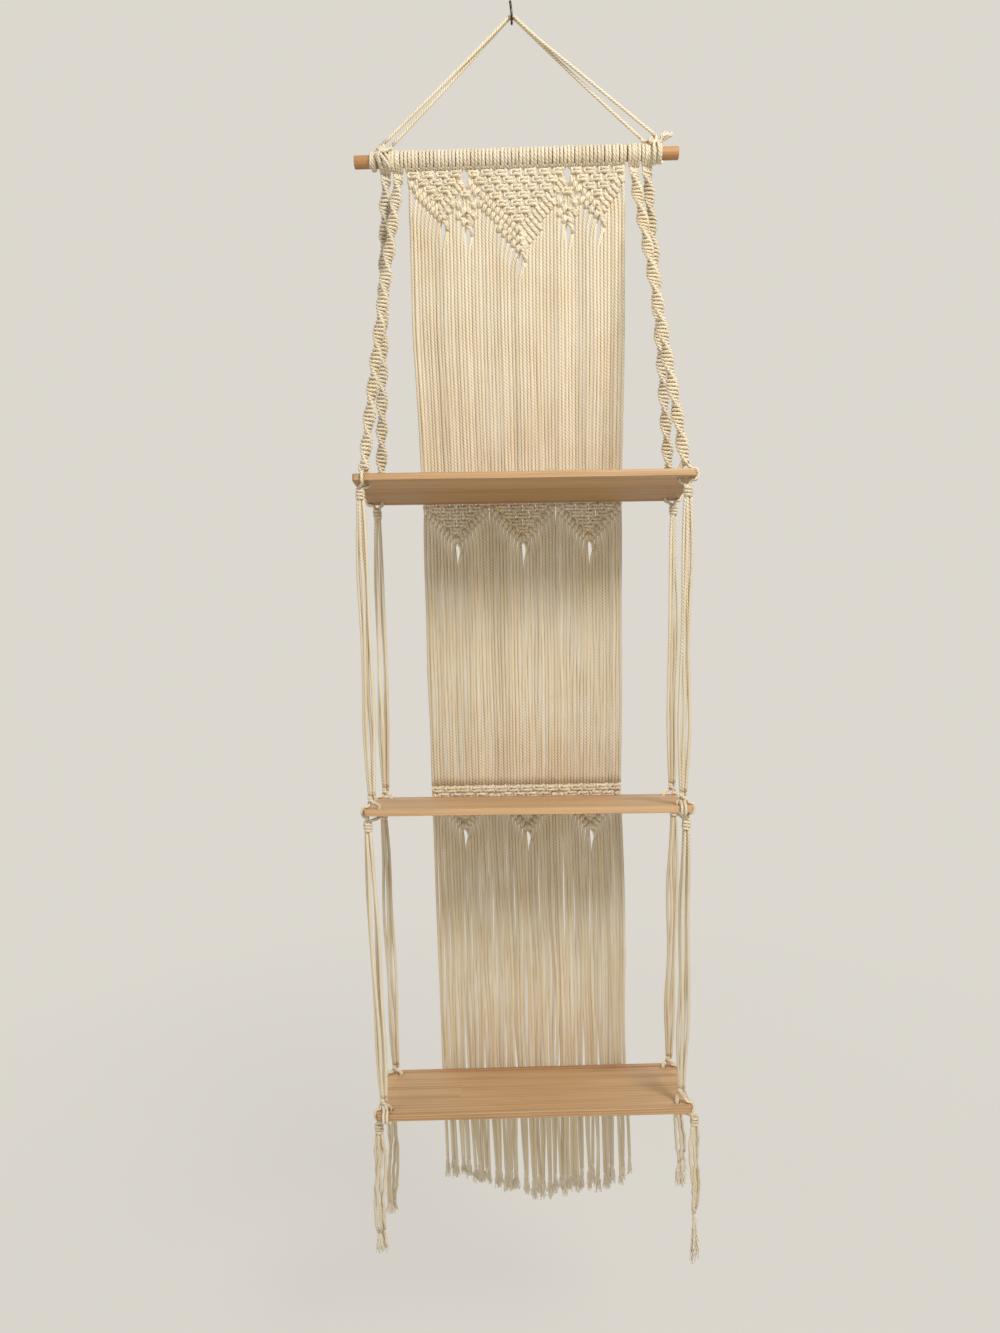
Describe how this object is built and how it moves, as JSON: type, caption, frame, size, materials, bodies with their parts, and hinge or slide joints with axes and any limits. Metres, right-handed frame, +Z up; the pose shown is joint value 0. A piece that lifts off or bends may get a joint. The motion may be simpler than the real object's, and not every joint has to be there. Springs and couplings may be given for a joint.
{
  "type": "macrame wall shelf with its dowel and wall hook",
  "caption": "Knotted cotton panel and twisted corner cords that hang from a wooden dowel on a wall hook and carry wooden boards as shelves.",
  "frame": {"origin": "the point where the hook's shank leaves the wall, in the plane of the wall", "axes": "+Z up, +Y into the wall, +X to the right for someone who faces the wall; the shelf hangs below the origin and stands out towards -Y"},
  "size_m": [0.4297, 0.1725, 1.6091],
  "materials": {
    "cotton_cord": "natural undyed twisted cotton cord, matt",
    "pine_board": "sanded pine, lightly oiled",
    "dowel_wood": "oiled round rod",
    "hook_steel": "dark bent wire"
  },
  "bodies": {
    "root": {"wall_hook": "hook_steel", "dowel": "dowel_wood", "board_upper": "pine_board", "board_middle": "pine_board", "board_lower": "pine_board", "lashing_left": "cotton_cord", "lashing_right": "cotton_cord", "hanger_cord_outer": "cotton_cord", "hanger_cord_inner": "cotton_cord", "cord_head_row": "cotton_cord", "knot_band_top": "cotton_cord", "knot_band_middle": "cotton_cord", "knot_band_low": "cotton_cord", "curtain_top": "cotton_cord", "curtain_middle": "cotton_cord", "curtain_fringe": "cotton_cord", "sinnet_front_left": "cotton_cord", "sinnet_back_left": "cotton_cord", "sinnet_front_right": "cotton_cord", "sinnet_back_right": "cotton_cord", "sling_upper_front_left": "cotton_cord", "sling_middle_front_left": "cotton_cord", "sling_lower_front_left": "cotton_cord", "sling_upper_back_left": "cotton_cord", "sling_middle_back_left": "cotton_cord", "sling_lower_back_left": "cotton_cord", "sling_upper_front_right": "cotton_cord", "sling_middle_front_right": "cotton_cord", "sling_lower_front_right": "cotton_cord", "sling_upper_back_right": "cotton_cord", "sling_middle_back_right": "cotton_cord", "sling_lower_back_right": "cotton_cord", "bundle_upper_front_left": "cotton_cord", "bundle_lower_front_left": "cotton_cord", "bundle_upper_back_left": "cotton_cord", "bundle_lower_back_left": "cotton_cord", "bundle_upper_front_right": "cotton_cord", "bundle_lower_front_right": "cotton_cord", "bundle_upper_back_right": "cotton_cord", "bundle_lower_back_right": "cotton_cord", "tail_front_left": "cotton_cord", "tail_back_left": "cotton_cord", "tail_front_right": "cotton_cord", "tail_back_right": "cotton_cord"}
  },
  "joints": []
}
